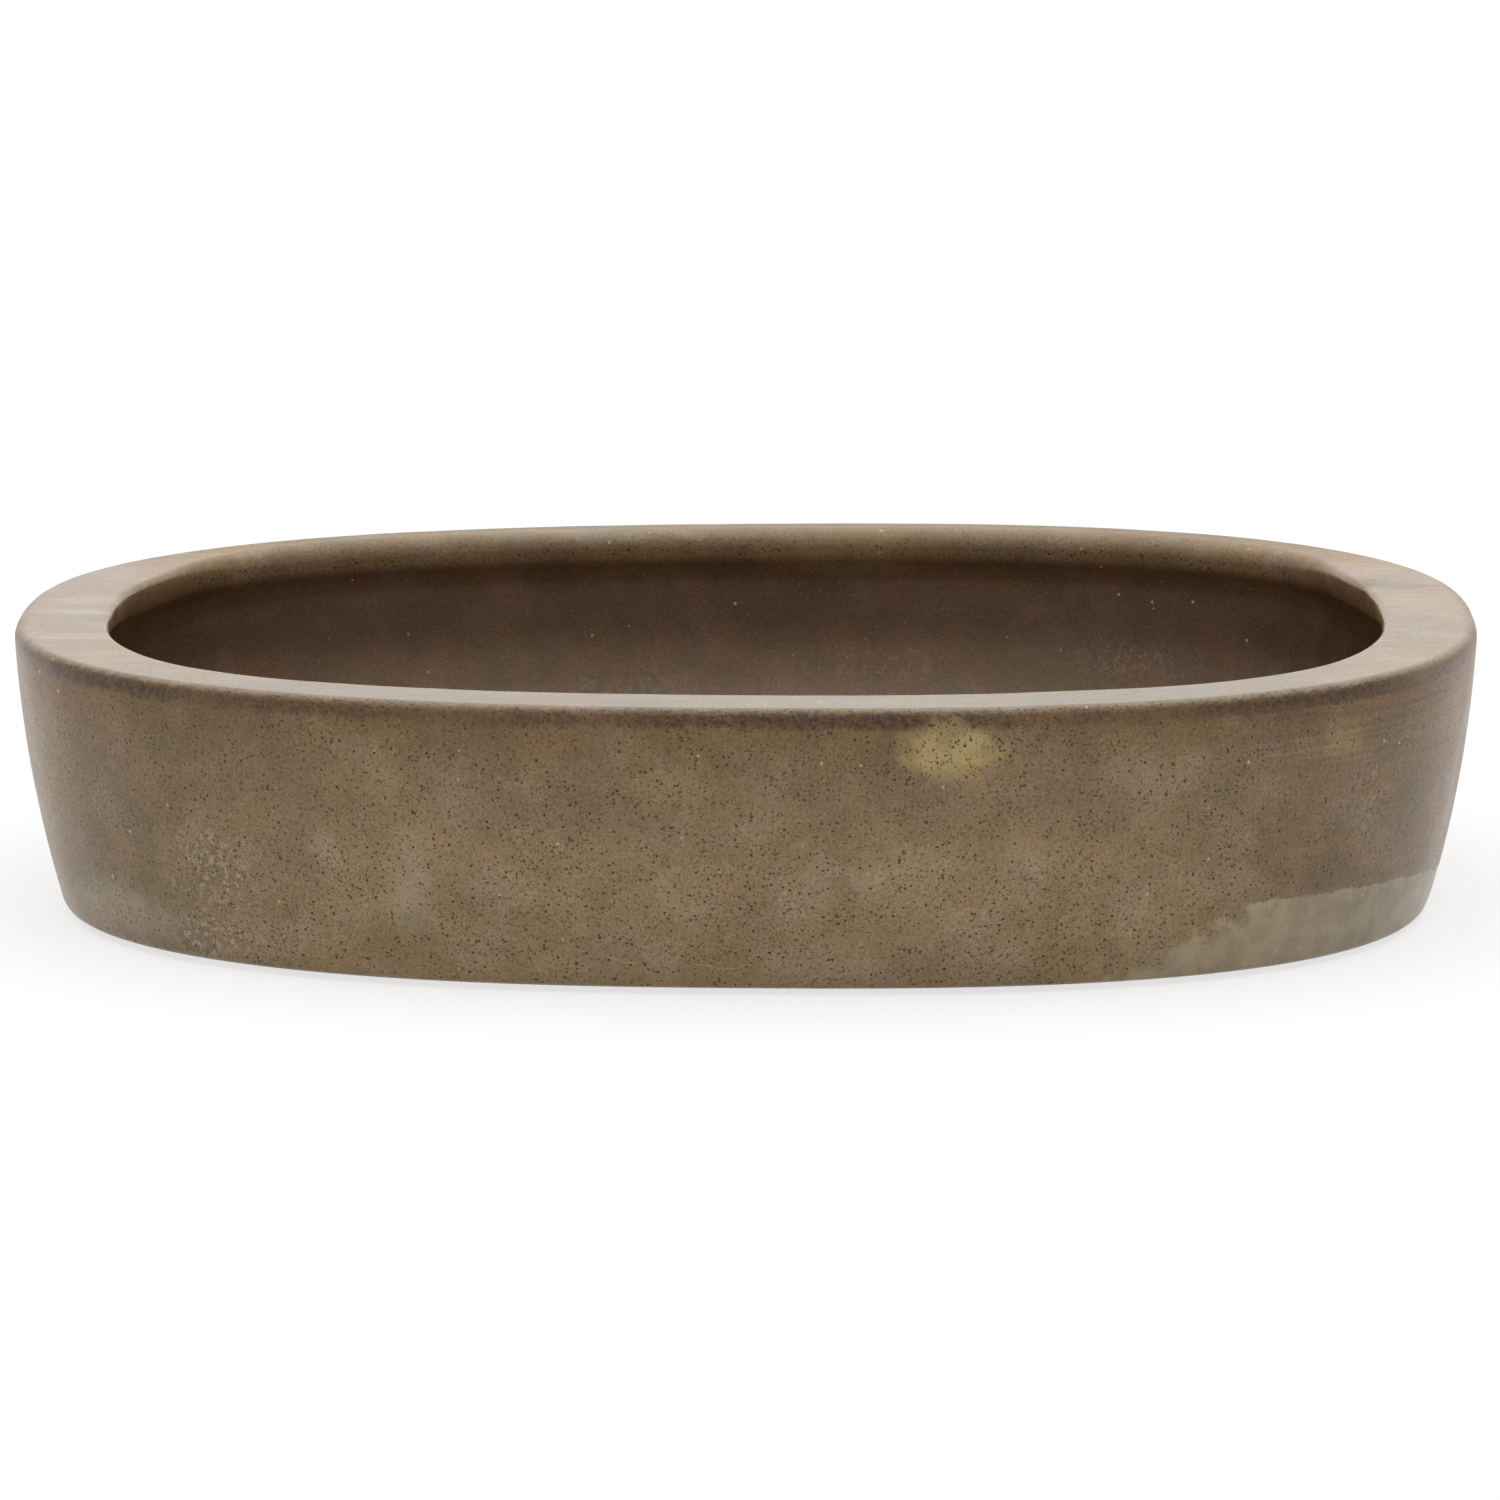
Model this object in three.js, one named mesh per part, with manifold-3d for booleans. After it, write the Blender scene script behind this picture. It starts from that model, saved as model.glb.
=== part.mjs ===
// Oval bowl planter of glass-fibre concrete: a low shell with a wide flat rim that is turned inwards
// over the planting hollow, a drain hole with its rubber plug, and four rubber pads under the base.
// Millimetres, +Z up, +X along the length. The origin is on the ground under the middle of the bowl.

import * as THREE from "three";
import { mergeVertices } from "three/addons/utils/BufferGeometryUtils.js";
import Module from "manifold-3d";

const wasm = await Module();
wasm.setup();

// Plan of the casting, seen from above
const LENGTH = 762;
const WIDTH = 610;
const PLAN_EXPONENT = 2.5; // 2 is an ellipse, and larger numbers have fuller corners
const BLUNT_END = 0.054; // share by which the +X end is wider and the -X end narrower than the middle
const STEPS_AROUND = 84;

// Section through the wall
const CASTING_HEIGHT = 145;
const WALL_DRAFT = THREE.MathUtils.degToRad(2.35); // lean of the outer wall at the rim
const WALL_RADIUS = 600; // the outer wall bulges on this radius, so it leans in more towards the base
const WALL_THICKNESS = 24;
const FLOOR_THICKNESS = 28; // at the floor's edge
const FLOOR_FALL = 3; // the floor drops by this much from its edge to the drain
const FLOOR_CURVE = 45; // radius between the inner wall and the floor
const BASE_EDGE = 6;
const RIM_WIDTH = 47;
const RIM_EDGE = 6; // rounding of the rim's outer edge
const LIP_EDGE = 4; // rounding of the rim's inner edge
const LIP_NOSE = 18; // rounding that turns the lip under, from its inner edge on
const LIP_FILLET = 20; // hollow rounding that carries the lip's underside over into the wall

// Drain
const SUMP_RADIUS = 36; // flat recess that the plug's flange sits in
const SUMP_DEPTH = 3;
const SUMP_DRAFT = 1.5;
const DRAIN_TOP_RADIUS = 20;
const DRAIN_BOTTOM_RADIUS = 18;
const DRAIN_CHAMFER = 1.5;
const CUT_MARGIN = 6; // how far the cutting core runs past the faces that it goes through

// Rubber plug
const PLUG_GAP = 0.3; // room to the concrete all round
const PLUG_DEPTH = 18; // how far the tapered body reaches down below the seat
const PLUG_RECESS_RADIUS = 9; // hollow in the plug's underside
const PLUG_RECESS_DEPTH = 12;
const FLANGE_RADIUS = 26;
const FLANGE_THICKNESS = 3.5;
const NECK_RADIUS = 5;
const NECK_HEIGHT = 6;
const KNOB_RADIUS = 10;
const KNOB_HEIGHT = 9;

// Rubber pads
const PAD_RADIUS = 25;
const PAD_THICKNESS = 3;
const PAD_EDGE = 0.8;
const PAD_X = 225; // places of the pads' centres
const PAD_Y = 150;

const STEPS_ROUND = 32; // facets round a turned piece

// Heights above the ground
const BASE_Z = PAD_THICKNESS;
const RIM_Z = BASE_Z + CASTING_HEIGHT;
const FLOOR_Z = BASE_Z + FLOOR_THICKNESS;
const DRAIN_Z = FLOOR_Z - FLOOR_FALL; // the floor's level at the drain
const SEAT_Z = DRAIN_Z - SUMP_DEPTH;

const concrete = new THREE.MeshStandardMaterial({ color: 0x85765f, roughness: 0.92, metalness: 0 });
const rubber = new THREE.MeshStandardMaterial({ color: 0x1f1d1b, roughness: 0.75, metalness: 0 });

function namedMesh(name, geometry, material) {
  const mesh = new THREE.Mesh(geometry, material.clone());
  mesh.name = name;
  return mesh;
}

// A point of the plan: the superellipse |x/a|^n + |y/b|^n = 1, moved inwards along its normal by the
// inset, and then widened in proportion to x.
function planPoint(angle, inset) {
  const halfLength = LENGTH / 2;
  const halfWidth = WIDTH / 2;
  const cos = Math.cos(angle);
  const sin = Math.sin(angle);
  const onCurve = 2 / PLAN_EXPONENT;
  const onNormal = 2 - onCurve;
  const normal = new THREE.Vector2(
    (Math.sign(cos) * Math.abs(cos) ** onNormal) / halfLength,
    (Math.sign(sin) * Math.abs(sin) ** onNormal) / halfWidth,
  ).normalize();
  const x = halfLength * Math.sign(cos) * Math.abs(cos) ** onCurve - inset * normal.x;
  const y = halfWidth * Math.sign(sin) * Math.abs(sin) ** onCurve - inset * normal.y;
  return new THREE.Vector2(x, y * (1 + (BLUNT_END * x) / halfLength));
}

function planRing(inset, z) {
  return Array.from({ length: STEPS_AROUND }, (_, step) => {
    const point = planPoint((step / STEPS_AROUND) * Math.PI * 2, inset);
    return new THREE.Vector3(point.x, point.y, z);
  });
}

// The wall's section lies in a plane of (inset, z). Its outer and inner faces are arcs about one centre.
const wallCentre = new THREE.Vector2(
  WALL_RADIUS * Math.cos(WALL_DRAFT),
  RIM_Z + WALL_RADIUS * Math.sin(WALL_DRAFT),
);
const innerWallRadius = WALL_RADIUS - WALL_THICKNESS;

// A rounding that touches the wall's arc from inside, with its own centre at height z.
function roundingInWall(arcRadius, radius, z) {
  const drop = wallCentre.y - z;
  const inset = wallCentre.x - Math.sqrt((arcRadius - radius) ** 2 - drop ** 2);
  const centre = new THREE.Vector2(inset, z);
  return { centre, radius, contact: Math.atan2(z - wallCentre.y, inset - wallCentre.x) };
}

// The hollow rounding that touches both the nose and the inside of the wall's inner arc. Its centre is
// where the circle of both roundings' radii about the nose's centre meets the circle of the wall's radius
// less its own about the wall's centre. It also gives the angle through which the nose turns under.
function reverseCurve(nose, noseRadius, radius) {
  const aside = wallCentre.clone().sub(nose);
  const near = noseRadius + radius;
  const far = innerWallRadius - radius;
  const away = aside.length();
  const turnUnder = Math.acos((away ** 2 + near ** 2 - far ** 2) / (2 * away * near)) - aside.angle();
  const centre = new THREE.Vector2(near, 0).rotateAround(new THREE.Vector2(), -turnUnder).add(nose);
  return { centre, radius, turnUnder, contact: Math.atan2(centre.y - wallCentre.y, centre.x - wallCentre.x) };
}

function arc(centre, radius, from, to, steps) {
  return new THREE.EllipseCurve(centre.x, centre.y, radius, radius, from, to, from > to).getPoints(steps);
}

// The section from the base's edge up the outer wall, over the rim, round the lip and down to the floor.
function sectionPoints() {
  const up = Math.PI / 2;
  const turn = Math.PI * 2;
  const base = roundingInWall(WALL_RADIUS, BASE_EDGE, BASE_Z + BASE_EDGE);
  const rim = roundingInWall(WALL_RADIUS, RIM_EDGE, RIM_Z - RIM_EDGE);
  const lipEdge = new THREE.Vector2(RIM_WIDTH - LIP_EDGE, RIM_Z - LIP_EDGE);
  const nose = new THREE.Vector2(RIM_WIDTH - LIP_NOSE, lipEdge.y);
  const fillet = reverseCurve(nose, LIP_NOSE, LIP_FILLET);
  const floor = roundingInWall(innerWallRadius, FLOOR_CURVE, FLOOR_Z + FLOOR_CURVE);
  const points = [
    ...arc(base.centre, base.radius, -up, base.contact, 4),
    ...arc(wallCentre, WALL_RADIUS, base.contact, rim.contact, 6),
    ...arc(rim.centre, rim.radius, rim.contact, up - turn, 3),
    ...arc(lipEdge, LIP_EDGE, up, 0, 3),
    ...arc(nose, LIP_NOSE, 0, -fillet.turnUnder, 4),
    ...arc(fillet.centre, fillet.radius, Math.PI - fillet.turnUnder, fillet.contact + turn, 4),
    ...arc(wallCentre, innerWallRadius, fillet.contact, floor.contact, 2),
    ...arc(floor.centre, floor.radius, floor.contact, -up, 6),
  ];
  const sameSpot = 0.001;
  return points.filter((point, i) => i === 0 || point.distanceTo(points[i - 1]) > sameSpot);
}

// Skin over a stack of rings, closed by a fan to a middle point at the first ring and at the last.
function loft(rings, firstMiddle, lastMiddle) {
  const around = rings[0].length;
  const vertices = [firstMiddle, ...rings.flat(), lastMiddle];
  const at = (ring, step) => 1 + ring * around + (step % around);
  const last = rings.length - 1;
  const index = [];
  for (let step = 0; step < around; step += 1) {
    index.push(0, at(0, step + 1), at(0, step));
    for (let ring = 0; ring < last; ring += 1) {
      index.push(at(ring, step), at(ring, step + 1), at(ring + 1, step + 1));
      index.push(at(ring, step), at(ring + 1, step + 1), at(ring + 1, step));
    }
    index.push(at(last, step), at(last, step + 1), vertices.length - 1);
  }
  const geometry = new THREE.BufferGeometry().setFromPoints(vertices);
  geometry.setIndex(index);
  return geometry;
}

// A turned piece from its half section, given as [radius, z] pairs from the axis back to the axis.
function turned(section) {
  const points = section.map(([radius, z]) => new THREE.Vector2(radius, z));
  return new THREE.LatheGeometry(points, STEPS_ROUND).rotateX(Math.PI / 2);
}

function toSolid(geometry) {
  const bare = geometry.clone();
  bare.deleteAttribute("normal");
  bare.deleteAttribute("uv");
  const merged = mergeVertices(bare);
  const corners = Array.from(merged.index.array);
  const triVerts = [];
  for (let i = 0; i < corners.length; i += 3) {
    const [a, b, c] = corners.slice(i, i + 3);
    if (a !== b && b !== c && c !== a) triVerts.push(a, b, c);
  }
  return new wasm.Manifold(
    new wasm.Mesh({
      numProp: 3,
      vertProperties: new Float32Array(merged.attributes.position.array),
      triVerts: new Uint32Array(triVerts),
    }),
  );
}

function fromSolid(solid) {
  const { vertProperties, triVerts } = solid.getMesh();
  const geometry = new THREE.BufferGeometry();
  geometry.setAttribute("position", new THREE.BufferAttribute(new Float32Array(vertProperties), 3));
  geometry.setIndex(new THREE.BufferAttribute(new Uint32Array(triVerts), 1));
  return geometry;
}

// The shape that the mould's core leaves in the floor: a chamfered, tapered hole with a flat sump above it.
function drainCore() {
  return turned([
    [0, BASE_Z - CUT_MARGIN],
    [DRAIN_BOTTOM_RADIUS + DRAIN_CHAMFER + CUT_MARGIN, BASE_Z - CUT_MARGIN],
    [DRAIN_BOTTOM_RADIUS, BASE_Z + DRAIN_CHAMFER],
    [DRAIN_TOP_RADIUS, SEAT_Z],
    [SUMP_RADIUS, SEAT_Z],
    [SUMP_RADIUS + SUMP_DRAFT, DRAIN_Z + CUT_MARGIN],
    [0, DRAIN_Z + CUT_MARGIN],
  ]);
}

function concreteBowl() {
  const rings = sectionPoints().map((point) => planRing(point.x, point.y));
  const shell = loft(rings, new THREE.Vector3(0, 0, BASE_Z), new THREE.Vector3(0, 0, DRAIN_Z));
  return namedMesh("concrete_bowl", fromSolid(toSolid(shell).subtract(toSolid(drainCore()))), concrete);
}

function drainPlug() {
  const taper = (DRAIN_TOP_RADIUS - DRAIN_BOTTOM_RADIUS) / (SEAT_Z - BASE_Z - DRAIN_CHAMFER);
  const bottom = SEAT_Z - PLUG_DEPTH;
  const flangeTop = SEAT_Z + PLUG_GAP + FLANGE_THICKNESS;
  const knobBottom = flangeTop + NECK_HEIGHT;
  const edge = FLANGE_THICKNESS / 2;
  const knobSide = knobBottom + KNOB_HEIGHT / 2;
  return namedMesh(
    "drain_plug",
    turned([
      [0, bottom + PLUG_RECESS_DEPTH],
      [PLUG_RECESS_RADIUS, bottom + PLUG_RECESS_DEPTH],
      [PLUG_RECESS_RADIUS, bottom],
      [DRAIN_TOP_RADIUS - PLUG_GAP - taper * PLUG_DEPTH, bottom],
      [DRAIN_TOP_RADIUS - PLUG_GAP, SEAT_Z + PLUG_GAP],
      [FLANGE_RADIUS, SEAT_Z + PLUG_GAP],
      [FLANGE_RADIUS, SEAT_Z + PLUG_GAP + edge],
      [FLANGE_RADIUS - edge, flangeTop],
      [NECK_RADIUS, flangeTop],
      [NECK_RADIUS, knobBottom],
      [KNOB_RADIUS, knobSide],
      [KNOB_RADIUS * Math.SQRT1_2, knobBottom + KNOB_HEIGHT],
      [0, knobBottom + KNOB_HEIGHT],
    ]),
    rubber,
  );
}

function footPad(name, x, y) {
  const pad = namedMesh(
    name,
    turned([
      [0, 0],
      [PAD_RADIUS - PAD_EDGE, 0],
      [PAD_RADIUS, PAD_EDGE],
      [PAD_RADIUS, PAD_THICKNESS - PAD_EDGE],
      [PAD_RADIUS - PAD_EDGE, PAD_THICKNESS],
      [0, PAD_THICKNESS],
    ]),
    rubber,
  );
  pad.position.set(x, y, 0);
  return pad;
}

const group = new THREE.Group();
group.add(concreteBowl(), drainPlug());
for (const [end, x] of [["left", -PAD_X], ["right", PAD_X]]) {
  for (const [side, y] of [["front", -PAD_Y], ["back", PAD_Y]]) {
    group.add(footPad(`foot_pad_${side}_${end}`, x, y));
  }
}

export default group;
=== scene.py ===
"""Oval bowl planter of glass-fibre concrete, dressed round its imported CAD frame.

The casting is one skin carried round a closed section and along a superellipse, the drain plug and the
pads are turned pieces, and every finish is a procedural material. Metres, in the CAD's own frame.
"""

import math
from types import SimpleNamespace

import bpy
import numpy as np
from mathutils import Matrix, Vector


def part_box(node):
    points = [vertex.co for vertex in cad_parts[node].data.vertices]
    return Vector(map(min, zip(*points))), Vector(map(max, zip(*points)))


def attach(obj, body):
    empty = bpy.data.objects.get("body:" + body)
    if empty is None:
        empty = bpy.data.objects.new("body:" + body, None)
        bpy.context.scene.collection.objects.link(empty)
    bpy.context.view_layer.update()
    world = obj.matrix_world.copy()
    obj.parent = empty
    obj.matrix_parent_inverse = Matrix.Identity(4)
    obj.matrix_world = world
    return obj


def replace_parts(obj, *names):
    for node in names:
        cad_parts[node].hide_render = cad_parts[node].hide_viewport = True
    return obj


bl_info = {
    "name": "Concrete bowl planter",
    "version": (1, 0, 0),
    "blender": (4, 5, 0),
    "location": "3D View > Sidebar > Planter",
    "description": "Builds an oval concrete bowl planter with its drain plug, its pads and a plain studio",
    "category": "Add Mesh",
}

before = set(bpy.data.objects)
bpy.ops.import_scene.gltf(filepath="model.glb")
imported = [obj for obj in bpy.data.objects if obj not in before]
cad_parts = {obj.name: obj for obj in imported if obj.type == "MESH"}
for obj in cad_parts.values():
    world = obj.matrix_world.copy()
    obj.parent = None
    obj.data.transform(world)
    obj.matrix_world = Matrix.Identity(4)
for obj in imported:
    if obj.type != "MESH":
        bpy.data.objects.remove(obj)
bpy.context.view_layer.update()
BOWL_LOW, BOWL_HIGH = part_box("concrete_bowl")
PLUG_LOW, PLUG_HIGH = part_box("drain_plug")
PAD_NODES = sorted(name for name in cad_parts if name.startswith("foot_pad_"))

FULL_TURN = 2 * math.pi
QUARTER_TURN = math.pi / 2

# Upper edge of the smooth patch low on the right: its height for y, as the factors of 1, y and y^2, which
# gives 40 mm at y = -258 mm, 38 mm at -189 mm and 28 mm at -91 mm
PATCH_EDGE = (0.0112, -0.2243, -0.437)
PATCH_LEFT = (0.168, 0.194)  # x less PATCH_SLANT z, over which its left edge fades
PATCH_SLANT = 2.0
PATCH_BACK = (-0.045, -0.075)  # y over which it fades at the back
DENT = (0.322, 0.083, 0.147)  # middle of the dent in the rim's inner edge
DENT_RADIUS = 0.013

# Parts of the casting's skin by the run along its section, in metres from the outer side of the rim's
# flat: negative down the outer wall, positive over the rim and down the inside. A span rises over its
# first two values and falls over its last two.
RIM_SPAN = (-0.004, 0.002, 0.040, 0.050)
WALL_FROM = (-0.003, -0.006)
INSIDE_FROM = (0.054, 0.072)
BAND_SPAN = (-0.0155, -0.0105, -0.0060, -0.0025)  # dark band under the rim's edge
# Where the band is darkest: places on the outline and the reach round each
BAND_WORST = (((0.040, -0.300, 0), 0.110), ((-0.313, -0.190, 0), 0.065), ((0.280, -0.240, 0), 0.080))

# Distances from the middle, along x, over which the painted shade and highlight of the ends come in; the
# lower line is for the painted highlight on the wall's extreme ends
ENDS_FROM = (0.20, 0.33)
PAINTED_HIGHLIGHT_FROM = (0.335, 0.370)

# Heights over which the wall gets lighter downwards, by the share set beside them, as painted light
# thrown up from the floor, and darker towards the rim, partly painted shade and partly a browner tone,
# and over which the painted shade under the lip gives way to the mistier inside
PAINTED_LIGHT_HEIGHTS, PAINTED_LIGHT_SHARE = (0.102, 0.066), 0.24
UPPER_TONE_AND_SHADE_HEIGHTS = (0.105, 0.138)
PAINTED_LIP_SHADE_HEIGHTS = (0.100, 0.068)
MIST = 0.10  # share of bloom in the colour of the inside lower down
ASH_STRENGTH = 0.8

# Brushed streaks, as cells to the metre along each axis
RIM_STREAKS = (14, 170, 0)
WALL_STREAKS = (9, 9, 420)
PORE_DEPTH = 0.0004
CONCRETE_IOR = 1.38

# Pale fibres near the base: from and to x, height and wave, and what all of them share
FIBRES = ((-0.068, -0.050, 0.018, 0.0015), (-0.020, 0.006, 0.015, 0.0012))
FIBRE_WAVES = 260  # radians to the metre
FIBRE_EDGE = (0.0006, 0.0001)

# Marks on the casting: how the edge wanders, centre, half sizes, softness as a share of them, strength,
# texture and colour
MARKS = (
    # front wall: tan patch, its small neighbour, and the olive tint near the base
    ("broad", (0.104, -0.303, 0.127), (0.023, 0.020, 0.0145), 0.40, 1.00, "cloudy", "tan"),
    ("broad", (0.300, -0.228, 0.119), (0.012, 0.014, 0.008), 0.6, 0.35, "cloudy", "tan"),
    ("broad", (-0.090, -0.276, 0.006), (0.120, 0.040, 0.012), 0.6, 0.22, "cloudy", "tan"),
    ("fine", (0.117, -0.302, 0.117), (0.004, 0.004, 0.003), 0.6, 0.35, "even", "rust"),
    ("broad", (0.228, -0.262, 0.060), (0.050, 0.040, 0.020), 0.6, 0.13, "cloudy", "stain"),
    # salts low on the left and beside the patch
    ("broad", (-0.262, -0.225, 0.050), (0.024, 0.030, 0.024), 0.9, 0.75, "speckled", "bloom"),
    ("broad", (-0.266, -0.215, 0.016), (0.030, 0.030, 0.009), 0.8, 1.00, "speckled", "bloom"),
    ("fine", (-0.220, -0.243, 0.020), (0.006, 0.006, 0.004), 0.6, 0.50, "speckled", "bloom"),
    ("broad", (-0.315, -0.172, 0.022), (0.034, 0.044, 0.013), 0.6, 0.75, "cloudy", "patched"),
    ("broad", (0.199, -0.269, 0.031), (0.016, 0.020, 0.008), 0.7, 0.45, "speckled", "bloom"),
    ("broad", (0.274, -0.222, 0.010), (0.016, 0.020, 0.007), 0.7, 0.45, "speckled", "bloom"),
    ("broad", (0.315, -0.207, 0.085), (0.012, 0.020, 0.022), 0.6, 0.30, "speckled", "bloom"),
    ("broad", (-0.163, -0.271, 0.054), (0.011, 0.011, 0.024), 0.8, 0.35, "cloudy", "bloom"),
    # rim: worn pale strokes at the left, yellow places and a dark stroke at the right
    ("broad", (-0.352, -0.005, 0.148), (0.022, 0.008, 0.01), 0.6, 0.60, "cloudy", "bloom"),
    ("broad", (-0.338, -0.085, 0.148), (0.026, 0.010, 0.01), 0.6, 0.50, "cloudy", "bloom"),
    ("broad", (-0.344, 0.033, 0.148), (0.018, 0.008, 0.01), 0.6, 0.45, "cloudy", "bloom"),
    ("broad", (0.354, 0.024, 0.148), (0.022, 0.030, 0.01), 0.7, 0.40, "cloudy", "tan"),
    ("broad", (0.337, 0.142, 0.148), (0.022, 0.026, 0.01), 0.7, 0.40, "cloudy", "tan"),
    ("broad", (0.333, -0.155, 0.148), (0.020, 0.026, 0.01), 0.7, 0.25, "cloudy", "tan"),
    ("broad", (0.338, 0.080, 0.146), (0.026, 0.009, 0.01), 0.7, 0.45, "even", "stain"),
    ("fine", (-0.263, -0.242, 0.148), (0.003, 0.004, 0.003), 0.6, 0.50, "even", "rust"),
    ("fine", (-0.299, -0.212, 0.148), (0.0015, 0.002, 0.002), 0.5, 0.80, "even", "grain"),
    # back: salts along the rim's inner edge, a yellow-brown place beside them, and salts inside
    ("broad", (-0.060, 0.268, 0.147), (0.085, 0.012, 0.004), 0.5, 0.35, "cloudy", "bloom"),
    ("broad", (0.056, 0.262, 0.138), (0.045, 0.030, 0.014), 0.6, 0.40, "cloudy", "tan"),
    ("broad", (-0.064, 0.262, 0.062), (0.045, 0.030, 0.008), 0.7, 0.25, "speckled", "bloom"),
    ("broad", (0.065, 0.268, 0.074), (0.040, 0.030, 0.008), 0.7, 0.25, "speckled", "bloom"),
    ("broad", (0.206, 0.245, 0.078), (0.035, 0.040, 0.008), 0.7, 0.30, "speckled", "bloom"),
)


# ---------------------------------------------------------------------------------------------------
# Settings


def length_property(name, description, default):
    """A length in metres."""
    return bpy.props.FloatProperty(
        name=name, description=description, default=default, min=0, precision=4, subtype="DISTANCE",
        unit="LENGTH",
    )


def angle_property(name, description, default):
    """An angle, given in degrees and kept in radians."""
    return bpy.props.FloatProperty(
        name=name, description=description, default=math.radians(default), subtype="ANGLE",
        unit="ROTATION",
    )


def colour_property(name, description, default):
    """A linear colour, or a tint that a colour is multiplied by."""
    return bpy.props.FloatVectorProperty(
        name=name, description=description, default=default, min=0, max=2, size=3, subtype="COLOR",
    )


def number_property(name, description, default):
    """A plain number."""
    return bpy.props.FloatProperty(name=name, description=description, default=default)


class BowlSettings(bpy.types.PropertyGroup):
    """Sizes of the casting."""

    length: length_property("Length", "Length of the casting", BOWL_HIGH.x - BOWL_LOW.x)
    width: length_property("Width", "Nominal width of the casting", 0.610)
    plan_exponent: number_property("Plan exponent", "2 is an ellipse, larger is fuller", 2.5)
    blunt_end: number_property("Blunt end", "Share by which the +X end is wider", 0.054)
    base_z: length_property("Base height", "Height of the underside", BOWL_LOW.z)
    rim_z: length_property("Rim height", "Height of the rim's top", BOWL_HIGH.z)
    wall_draft: angle_property("Wall draft", "Lean of the outer wall at the rim", 2.35)
    wall_radius: length_property("Wall radius", "Radius on which the outer wall bulges", 0.600)
    wall_thickness: length_property("Wall thickness", "Thickness of the shell", 0.024)
    floor_thickness: length_property("Floor thickness", "Thickness at the floor's edge", 0.028)
    floor_fall: length_property("Floor fall", "Drop from the floor's edge to the drain", 0.003)
    floor_curve: length_property("Floor curve", "Radius between inner wall and floor", 0.045)
    base_edge: length_property("Base edge", "Rounding of the base's edge", 0.006)
    rim_width: length_property("Rim width", "Width of the flat rim", 0.047)
    rim_edge: length_property("Rim edge", "Rounding of the rim's outer edge", 0.006)
    lip_edge: length_property("Lip edge", "Rounding of the rim's inner edge", 0.004)
    lip_nose: length_property("Lip nose", "Rounding that turns the lip under", 0.018)
    lip_fillet: length_property("Lip fillet", "Hollow rounding from the lip to the wall", 0.020)
    corner_loss: length_property("Corner loss", "How much narrower the rim is at the corners", 0.003)
    end_gain: length_property("End gain", "How much wider the rim is at the two ends", 0.0025)
    back_width: length_property("Back width", "Width of the rim at the back, where it is worn", 0.031)
    back_edge: length_property("Back edge", "Rounding of the worn inner edge at the back", 0.009)
    sump_radius: length_property("Sump radius", "Flat recess round the drain", 0.036)
    sump_depth: length_property("Sump depth", "Depth of the recess", 0.003)
    drain_top: length_property("Drain top radius", "Radius of the drain at its seat", 0.020)
    drain_bottom: length_property("Drain bottom radius", "Radius of the drain at the underside", 0.018)
    drain_chamfer: length_property("Drain chamfer", "Chamfer at the underside", 0.0015)
    relief: length_property("Relief", "Depth of the broad unevenness of the faces", 0.00025)
    patch_depth: length_property("Patch depth", "How far the smooth patch lies back", 0.0011)
    dent_depth: length_property("Dent depth", "Depth of the dent in the rim's inner edge", 0.0022)
    columns: bpy.props.IntProperty(
        name="Columns", description="Steps round the outline", default=540, min=48
    )


class ConcreteSettings(bpy.types.PropertyGroup):
    """Colours of the concrete, as linear values, among them tints that paint light and shade onto it."""

    olive: colour_property("Olive", "Greener of the two ground colours", (0.246, 0.175, 0.081))
    umber: colour_property("Umber", "Redder of the two ground colours", (0.232, 0.153, 0.083))
    ash: colour_property("Ash", "Grey clouds over the ground colour", (0.283, 0.205, 0.127))
    # Upper tint: browner towards the rim, and darker there as painted shade that goes with the painted
    # light low on the wall
    upper: colour_property("Upper", "Tint of the wall towards the rim", (0.80, 0.71, 0.56))
    # Side tint: painted shade on the wall and the inside towards the ends, which get less light from the
    # front
    side: colour_property("Side", "Tint of the wall and the inside towards the ends", (0.80, 0.74, 0.67))
    # Inside tint: painted shade under the lip, with the redder cast of light bounced round inside
    inside: colour_property("Inside", "Tint of the inside under the lip", (0.45, 0.355, 0.355))
    # Depth tint: darker and redder inside lower down, partly painted shade and partly the inside's own
    # darker tone
    depth: colour_property("Depth", "Tint of the inside lower down", (0.74, 0.66, 0.66))
    # Painted highlight: the ends of the rim and the wall lighter and warmer, as lit by the bright
    # surroundings at grazing angles
    painted_highlight_tips: colour_property("Tips", "Tint of the rim and the wall at the ends", (1.25, 1.12, 1.02))
    stain: colour_property("Stain", "Dark band under the rim's edge", (0.050, 0.022, 0.005))
    tan: colour_property("Tan", "Yellowish patches", (0.45, 0.335, 0.14))
    rust: colour_property("Rust", "Orange and reddish spots", (0.42, 0.15, 0.045))
    bloom: colour_property("Bloom", "Whitish salts on the surface", (0.50, 0.42, 0.33))
    patched: colour_property("Patched", "Smooth greyer skin low on the right", (0.410, 0.335, 0.220))
    pore: colour_property("Pore", "Bottom of the pores", (0.042, 0.019, 0.002))
    grain: colour_property("Grain", "Pale sand grains and fibre ends", (0.60, 0.48, 0.32))


class RubberSettings(bpy.types.PropertyGroup):
    """Sizes and colours of the rubber pieces."""

    plug: colour_property("Plug", "Colour of the drain plug", (0.035, 0.033, 0.031))
    pads: colour_property("Pads", "Colour of the pads", (0.03, 0.03, 0.03))
    dust: colour_property("Dust", "Dust that lies on the rubber", (0.19, 0.165, 0.13))
    columns: bpy.props.IntProperty(
        name="Columns", description="Steps round a turned piece", default=96, min=24
    )


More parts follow.
